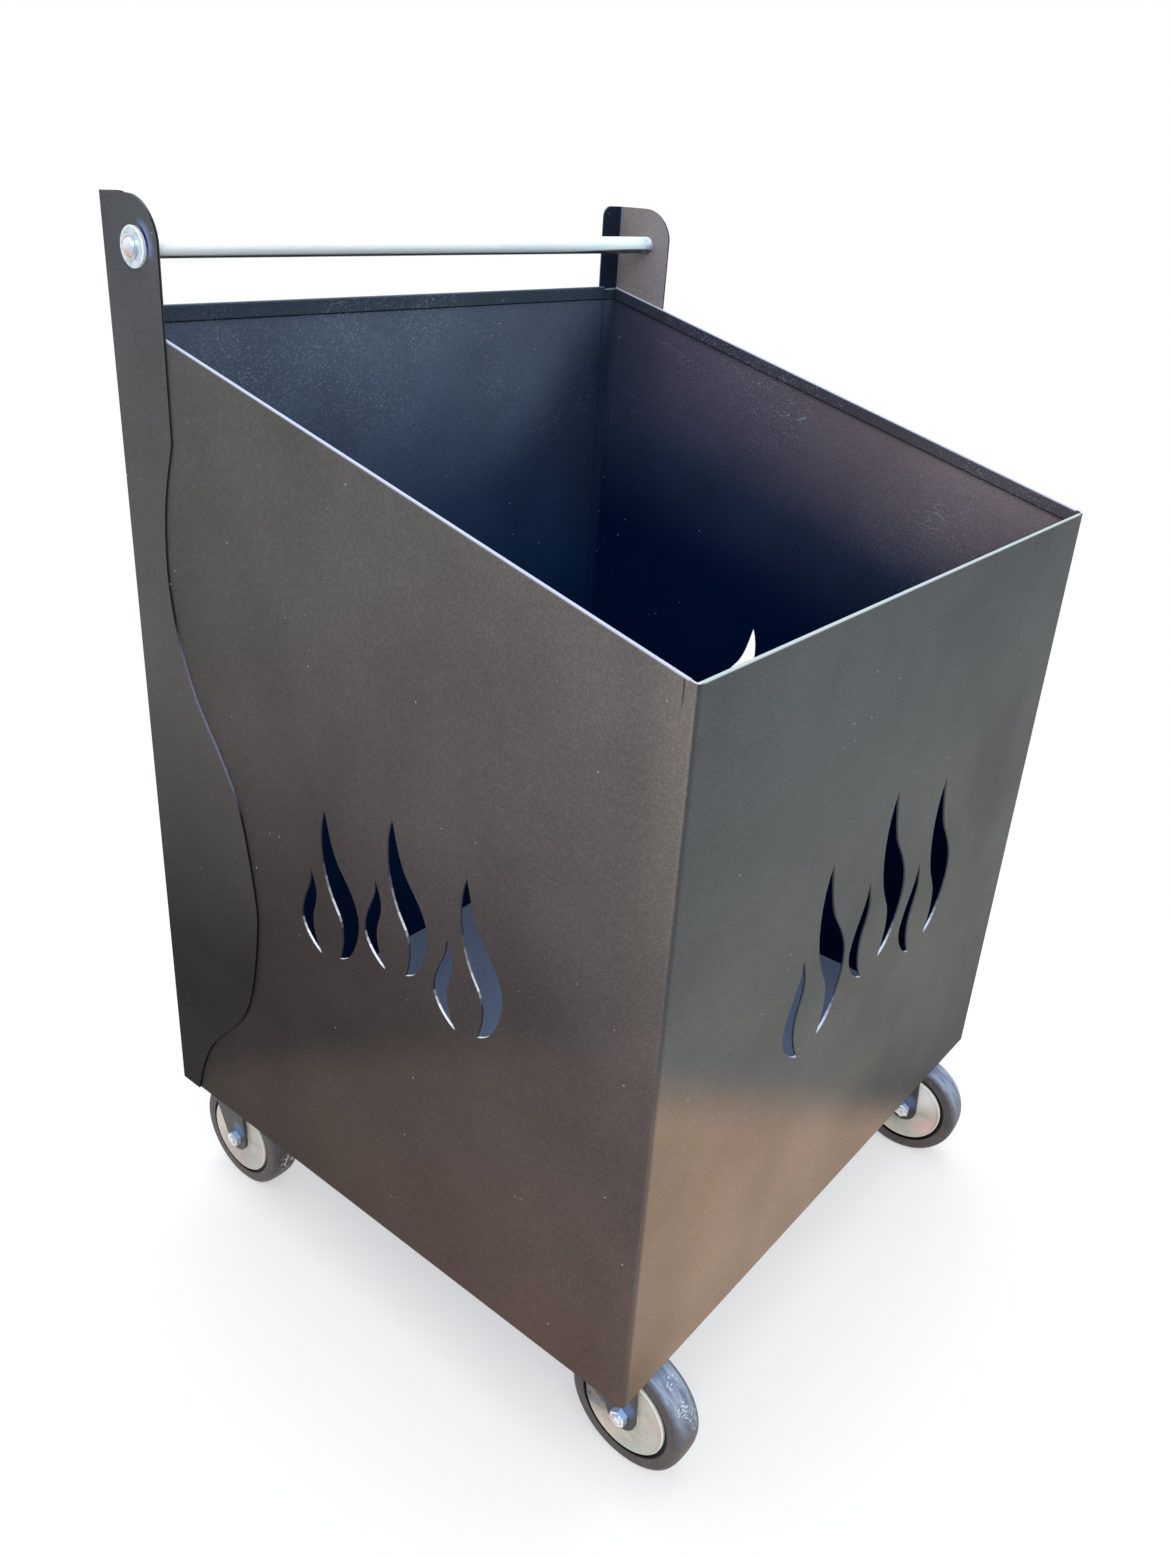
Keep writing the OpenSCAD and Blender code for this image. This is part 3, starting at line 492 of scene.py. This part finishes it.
def dome_zinc(name):
    """Domed bolts: painted reflections white above, rosy below; painted shade where the dome meets its flange."""
    m = Nodes(name)
    _, ny, nz = m.split(m.normal())
    ring = from_middle(m, BOLTS_LOW, BOLTS_HIGH)[2]
    cloud = m.noise(160.0, 3.0, 0.6)
    tone = m.mix(m.ramp(nz, -0.5, 0.4), srgb(208, 184, 176), srgb(238, 242, 246))
    # A painted blue reflection on the faces to the front
    tone = m.mix(m.ramp(m.minus(0.0, ny), 0.25, 0.8, 0.0, 0.6), tone, srgb(168, 208, 244))
    tone = m.mix(m.ramp(cloud, 0.5, 0.68, 0.0, 0.55), tone, srgb(176, 156, 148))
    # A ring of painted shade where the dome meets its flange
    seam_shade = m.times(m.ramp(ring, 4.7 * MM, 5.1 * MM), m.ramp(ring, 5.8 * MM, 5.4 * MM))
    tone = m.mix(m.times(seam_shade, 0.45), tone, srgb(120, 132, 140))
    return plated(m, tone, cloud, 1.0, 0.2, 0.14, 1500.0)


def axle_zinc(name, castor):
    """Axle nuts and bolts: rosy white ends, and facets with painted blue sky reflection where they face up."""
    m = Nodes(name)
    nz = m.split(m.normal())[2]
    end = m.absolute(m.vec("DOT_PRODUCT", m.normal(), tuple(JOINTS[castor + "_roll"]["axis"])))
    cloud = m.noise(420.0, 2.0, 0.6)
    facet = m.mix(m.ramp(nz, -0.3, 0.4), srgb(170, 168, 164), srgb(176, 214, 255))
    face = m.mix(m.ramp(cloud, 0.42, 0.62), srgb(244, 243, 241), srgb(196, 188, 184))
    tone = m.mix(m.ramp(end, 0.6, 0.9), facet, face)
    return plated(m, tone, cloud, 0.3, 0.22, 0.14, 1500.0)


def bar_metal(name):
    """Drawn bar with a satin zinc face: fine scratches run along it, and painted shade darkens its underside."""
    m = Nodes(name)
    lines = m.noise(2600.0, 2.0, 0.5, m.stretch(0.02, 1.0, 1.0))
    cloud = m.noise(18.0, 3.0, 0.5)
    nz = m.split(m.normal())[2]
    x = m.split(m.obj())[0]
    tone = m.mix(m.ramp(cloud, 0.3, 0.7), srgb(244, 254, 255), srgb(236, 249, 254))
    # Painted shade on the lower half
    tone = m.mix(m.ramp(nz, 0.1, -0.7, 0.0, 0.25), tone, srgb(204, 216, 222))
    # Painted shade on the underside reaches further up at the right-hand end
    under = m.minus(nz, m.ramp(x, 0.11, 0.20, 0.0, 0.28))
    tone = m.mix(m.ramp(under, -0.60, -0.82), tone, srgb(30, 40, 44))
    # Painted shade, a little cooler, growing towards the right-hand end
    tone = m.mix(m.ramp(x, 0.0, HALF_W, 0.0, 0.8), tone, m.vec("MULTIPLY", tone, (0.86, 0.97, 1.0)))
    # Painted blue reflections in blotches at both ends
    near_end = m.ramp(m.absolute(x), HALF_W - 16 * MM, HALF_W - 4 * MM, 0.0, 0.7)
    tone = m.mix(m.times(near_end, m.ramp(m.noise(260.0, 2.0), 0.42, 0.6)), tone, srgb(150, 172, 218))
    tone = m.mix(m.ramp(lines, 0.45, 0.7, 0.0, 0.18), tone, srgb(178, 186, 192))
    m.principled(Base_Color=tone, Metallic=0.1, Roughness=m.gloss(cloud, 0.32, 0.44),
                 Normal=m.bump(lines, 0.1, 0.0002))
    return m.mat


# ---- Castors ----

def wheel_place(castor):
    """A wheel's middle, the direction of its axle, and the level direction across it, to the front."""
    joint = JOINTS[castor + "_roll"]
    axis = Vector(joint["axis"])
    return Vector(joint["pos_m"]), axis, Vector((axis.y, -axis.x, 0.0))


def from_axle(m, castor):
    """Distance from a wheel's axle, and distance along it from the wheel's middle."""
    middle, axis, _ = wheel_place(castor)
    away = m.vec("SUBTRACT", m.obj(), tuple(middle))
    ring = m.vec("LENGTH", m.vec("CROSS_PRODUCT", away, tuple(axis)))
    return ring, m.vec("DOT_PRODUCT", away, tuple(axis))


def mark_at(m, castor, angle, along, out, radius):
    """Share by which a point is near a spot of a wheel: angle up from the front, then the place
    along the axle, the distance out from it and the spot's radius, all in mm."""
    middle, axis, ahead = wheel_place(castor)
    up = Vector((0.0, 0.0, 1.0))
    a = math.radians(angle)
    spot = middle + axis * along * MM + (ahead * math.cos(a) + up * math.sin(a)) * out * MM
    near = m.vec("LENGTH", m.vec("SUBTRACT", m.obj(), tuple(spot)))
    return m.ramp(near, radius * MM, 0.35 * radius * MM)


def tyre_marks(m, tone, castor):
    """Pale scuffs on the front left tyre and a worn patch on the back left one."""
    out = WHEEL_R / MM
    if castor == "front_left":
        bits = m.ramp(m.noise(820.0, 2.0), 0.56, 0.63)
        scuffs = ((33, -2, 8), (24, 3, 7), (12, 5, 5), (55, 1, 7), (-6, 6, 4), (-16, 5, 4))
        for angle, along, radius in scuffs:
            near = m.times(mark_at(m, castor, angle, along, out, radius), 0.85)
            tone = m.mix(m.times(bits, near), tone, srgb(214, 234, 238))
    if castor == "back_left":
        bits = m.ramp(m.noise(380.0, 2.0), 0.5, 0.56)
        worn = m.mix(bits, srgb(48, 42, 44), srgb(196, 186, 188))
        tone = m.mix(m.times(mark_at(m, castor, -12, 3, out, 12), 0.85), tone, worn)
    return tone


def tyre_rubber(name, castor):
    """Grey rubber with a painted blue sheen where the tread faces up, and painted shade in the groove round the
    hub.
    """
    m = Nodes(name)
    ring, along = from_axle(m, castor)
    cloud = m.noise(45.0, 4.0, 0.6)
    fine = m.noise(900.0, 3.0, 0.6)
    tone = m.mix(m.ramp(cloud, 0.3, 0.7), srgb(73, 67, 68), srgb(90, 83, 82))
    tone = m.mix(m.ramp(fine, 0.5, 0.7, 0.0, 0.2), tone, srgb(140, 136, 138))
    # Streaks run round the tread, so they follow the distance along the axle
    streak = m.new("ShaderNodeCombineXYZ")
    m.put(streak.inputs[0], m.times(along, 9.0))
    m.put(streak.inputs[1], m.times(m.split(m.obj())[2], 2.0))
    uneven = m.noise(28.0, 3.0, 0.6, streak.outputs[0])
    strength = 0.35 if castor.startswith("back") else 1.0
    up = m.ramp(m.split(m.normal())[2], 0.0, 0.95, smooth=False)
    tread = m.ramp(ring, WHEEL_R - 4.4 * MM, WHEEL_R - 1.2 * MM)
    sheen = m.times(m.times(up, tread), m.ramp(uneven, 0.30, 0.55, 0.55 * strength, strength))
    tone = m.mix(sheen, tone, m.mix(m.ramp(uneven, 0.42, 0.62), srgb(128, 144, 180), srgb(158, 180, 198)))
    # A painted highlight on the front right tyre's shoulder, painted shade on the other tyres' shoulders
    edge = m.times(m.ramp(along, 6.5 * MM, 8.8 * MM), m.ramp(ring, WHEEL_R - 5 * MM, WHEEL_R - 2.5 * MM))
    shade = srgb(184, 188, 216) if castor == "front_right" else srgb(86, 80, 92)
    tone = m.mix(m.times(edge, 0.6), tone, shade)
    specks = m.ramp(m.noise(420.0, 1.0), 0.70, 0.78)
    tone = m.mix(m.times(specks, 0.35), tone, srgb(165, 170, 176))
    tone = tyre_marks(m, tone, castor)
    # Painted shade in the groove round the hub
    tone = m.mix(m.ramp(ring, SEAM_R, SEAM_R - 0.6 * MM), tone, srgb(4, 3, 4))
    normal = m.bump(fine, 0.25, 0.0003)
    m.principled(Base_Color=tone, Roughness=m.gloss(cloud, 0.46, 0.6), Normal=normal,
                 Specular_IOR_Level=0.2, Sheen_Weight=0.08, Sheen_Roughness=0.4)
    return m.mat


# Painted highlights, reflections and shade on the hubs' faces: angle, mm out, radius in mm, strength and tone
HUB_PAINTED_LIGHT = {
    "front_right": [(62, 24, 24, 0.85, srgb(238, 238, 236)), (-40, 22, 15, 0.5, srgb(236, 196, 188))],
    "back_left": [(-110, 18, 22, 0.6, srgb(166, 150, 150))],
}


def hub_plastic(name, castor):
    """Light moulded plastic: cream, grey-green and rosy clouds, dark streaks, and a painted thin white edge."""
    m = Nodes(name)
    ring, _ = from_axle(m, castor)
    cloud = m.noise(26.0, 3.0, 0.5)
    tint = m.noise(31.0, 2.0, 0.5)
    # Painted light: faces that look up are a little lighter
    light = m.ramp(m.split(m.normal())[2], -0.1, 0.1)
    tone = m.mix(m.ramp(cloud, 0.35, 0.65), srgb(200, 190, 178), srgb(174, 181, 170))
    tone = m.mix(m.ramp(tint, 0.5, 0.68, 0.0, 0.55), tone, srgb(194, 168, 164))
    tone = m.mix(light, tone, m.vec("MULTIPLY", tone, (1.12, 1.12, 1.12)))
    streak = m.noise(52.0, 4.0, 0.7, m.stretch(1.0, 1.0, 2.4))
    dark_streaks = m.times(m.ramp(streak, 0.44, 0.60), m.ramp(ring, HUB_FACE_R, HUB_FACE_R - 10 * MM))
    tone = m.mix(m.times(dark_streaks, 0.30), tone, srgb(126, 120, 114))
    # Painted shade and a painted reflection of the fork on the front left hub
    if castor == "front_left":
        patch = mark_at(m, castor, 170, HUB_FACE, 22, 25)
        tone = m.mix(m.times(patch, m.ramp(streak, 0.34, 0.56, 0.6, 1.0)), tone, srgb(74, 67, 66))
    # Painted highlight, reflection and shade patches
    for angle, out, radius, strength, colour in HUB_PAINTED_LIGHT.get(castor, []):
        tone = m.mix(m.times(mark_at(m, castor, angle, HUB_FACE, out, radius), strength), tone, colour)
    # A painted highlight on the thin white edge of the face
    tone = m.mix(m.ramp(ring, HUB_FACE_R, HUB_FACE_R + 0.5 * MM), tone, srgb(232, 232, 230))
    normal = m.bump(m.noise(700.0, 2.0, 0.5), 0.1, 0.0003)
    m.principled(Base_Color=tone, Roughness=m.gloss(cloud, 0.28, 0.4), Normal=normal,
                 Specular_IOR_Level=0.45)
    return m.mat


def fork_coat(name, castor):
    """Pressed fork: dark grey, with a painted soft blue sheen ahead of the axle nut and above it."""
    m = Nodes(name)
    tone, rough, normal = coat_marks(m, m.mix(m.noise(30.0), srgb(60, 60, 58), srgb(78, 78, 80)), 0.4)
    middle, axis, ahead = wheel_place(castor)
    spot = middle + ahead * 3.5 * MM + Vector((0, 0, 8.5 * MM))
    away = m.vec("SUBTRACT", m.obj(), tuple(spot))
    across = m.vec("LENGTH", m.vec("CROSS_PRODUCT", away, tuple(axis)))
    tone = m.mix(m.ramp(across, 8.5 * MM, 3 * MM, 0.0, 0.55), tone, srgb(104, 124, 172))
    m.principled(Base_Color=tone, Roughness=rough, Normal=normal, Specular_IOR_Level=0.25)
    return m.mat


# ---- Materials on the solids ----

steel_mat = zinc("inner_steel", srgb(170, 174, 180), 0.3)
head_mat = plain_coat("head_coat", srgb(78, 77, 77), srgb(92, 92, 94), 0.4)
# The floor tray's blue-grey is painted sky light on its dark coat
TRAY_SKY_LIT_TONE = srgb(110, 126, 154)
SLOT_MATERIALS = {
    "side_sheet": wrap_coat("side_coat"),
    "back_sheet": back_coat("back_coat"),
    "floor_sheet": plain_coat("floor_coat", TRAY_SKY_LIT_TONE, TRAY_SKY_LIT_TONE, 0.46),
    "bracket_steel": bracket_coat("bracket_coat"),
    "bar_metal": bar_metal("bar_zinc"),
    "bolt_zinc": dome_zinc("bolt_zinc"),
    "nut_zinc": zinc("nut_zinc", srgb(214, 224, 236), 0.2),
    "caster_steel": head_mat,
    "stem_steel": steel_mat,
    "ball_steel": steel_mat,
    "sleeve_steel": steel_mat,
}
NODE_MATERIALS = {"handle_washers": washer_zinc("washer_zinc")}
for castor in CASTORS:
    axle = axle_zinc(castor + "_axle", castor)
    NODE_MATERIALS[castor + "_axle_bolt"] = axle
    NODE_MATERIALS[castor + "_axle_nut"] = axle
    NODE_MATERIALS[castor + "_tyre"] = tyre_rubber(castor + "_rubber", castor)
    NODE_MATERIALS[castor + "_hub"] = hub_plastic(castor + "_plastic", castor)
    NODE_MATERIALS[castor + "_fork"] = fork_coat(castor + "_fork_coat", castor)
for part in frame["record"]["subparts"]:
    name = part["node"]
    o = NODES[name]
    o.data.materials.clear()
    o.data.materials.append(NODE_MATERIALS.get(name) or SLOT_MATERIALS[part["material_slot"]])


# ---- Floor, light and camera ----

def plain_floor(name):
    """Pale floor that keeps the cart's soft shadow, and fades into the white background."""
    m = Nodes(name)
    path = m.new("ShaderNodeLightPath")
    seen = m.math("MAXIMUM", path.outputs["Is Camera Ray"], path.outputs["Is Glossy Ray"])
    seen = m.math("MAXIMUM", seen, path.outputs["Is Transmission Ray"])
    tone = m.mix(m.ramp(m.noise(1.3, 2.0), 0.3, 0.7), (0.93, 0.93, 0.93), (0.915, 0.915, 0.915))
    # The light that it throws up on the cart is a little dimmer and warmer than it looks
    tone = m.mix(seen, (0.82, 0.77, 0.73), tone)
    flat = m.principled(Base_Color=tone, Roughness=0.9, Specular_IOR_Level=0.0,
                        Normal=m.bump(m.noise(40.0, 2.0), 0.03, 0.002))
    white = m.new("ShaderNodeEmission")
    white.inputs[0].default_value = (1, 1, 1, 1)
    white.inputs[1].default_value = 1.0
    x, y, _ = m.split(m.obj())
    far = m.times(m.ramp(m.hypot(x, y), 0.30, 0.85, 0.45, 1.0), seen)
    both = m.new("ShaderNodeMixShader")
    m.put(both.inputs[0], far)
    m.tree.links.new(flat.outputs[0], both.inputs[1])
    m.tree.links.new(white.outputs[0], both.inputs[2])
    m.tree.links.new(both.outputs[0], m.out.inputs["Surface"])
    return m.mat


def stage_floor():
    """A wide flat floor under the cart."""
    half_width = 12.0
    bm = bmesh.new()
    bmesh.ops.create_grid(bm, x_segments=8, y_segments=8, size=half_width)
    me = bpy.data.meshes.new("floor")
    bm.to_mesh(me)
    bm.free()
    o = bpy.data.objects.new("floor", me)
    bpy.context.scene.collection.objects.link(o)
    me.materials.append(plain_floor("plain_floor"))


def area_light(name, place, width, power, colour):
    """A square soft light, turned to the middle of the cart."""
    cart_middle = Vector((0, 0, 0.3))
    data = bpy.data.lights.new(name, "AREA")
    data.shape = "RECTANGLE"
    data.size = data.size_y = width
    data.energy = power
    data.color = colour
    o = bpy.data.objects.new(name, data)
    o.location = place
    o.rotation_euler = (cart_middle - Vector(place)).to_track_quat("-Z", "Y").to_euler()
    bpy.context.scene.collection.objects.link(o)


def world_light(level):
    """Cool sky light on the object; plain white to the eye and in reflections."""
    world = bpy.data.worlds.new("studio")
    world.use_nodes = True
    nodes, link = world.node_tree.nodes, world.node_tree.links.new
    nodes.clear()
    path = nodes.new("ShaderNodeLightPath")
    seen = path.outputs["Is Camera Ray"]
    for kind in ("Is Glossy Ray", "Is Transmission Ray"):
        either = nodes.new("ShaderNodeMath")
        either.operation = "MAXIMUM"
        link(seen, either.inputs[0])
        link(path.outputs[kind], either.inputs[1])
        seen = either.outputs[0]
    mix = nodes.new("ShaderNodeMixShader")
    link(seen, mix.inputs[0])
    for socket, colour, strength in ((1, (0.90, 0.95, 1.0, 1), level), (2, (1, 1, 1, 1), 1.0)):
        light = nodes.new("ShaderNodeBackground")
        light.inputs[0].default_value = colour
        light.inputs[1].default_value = strength
        link(light.outputs[0], mix.inputs[socket])
    link(mix.outputs[0], nodes.new("ShaderNodeOutputWorld").inputs[0])
    bpy.context.scene.world = world


def photo_camera():
    """The photograph's camera: its place, its turn and its off-centre lens."""
    data = bpy.data.cameras.new("camera")
    data.sensor_width = SENSOR_W
    data.lens = FOCAL_PX / PHOTO_H * data.sensor_width
    data.shift_x = (PHOTO_W / 2 - CENTRE_X_PX) / PHOTO_H
    data.shift_y = (CENTRE_Y_PX - PHOTO_H / 2) / PHOTO_H
    o = bpy.data.objects.new("camera", data)
    o.location = CAMERA_PLACE
    o.rotation_euler = [math.radians(a) for a in CAMERA_TURN]
    bpy.context.scene.collection.objects.link(o)
    bpy.context.scene.camera = o


stage_floor()
world_light(0.8)
area_light("key", (-1.6, -2.0, 2.6), width=2.4, power=60, colour=(1.0, 0.97, 0.94))
area_light("top", (0.4, 0.6, 3.0), width=2.6, power=55, colour=(0.97, 0.98, 1.0))
photo_camera()
bpy.context.scene.view_settings.view_transform = "Standard"
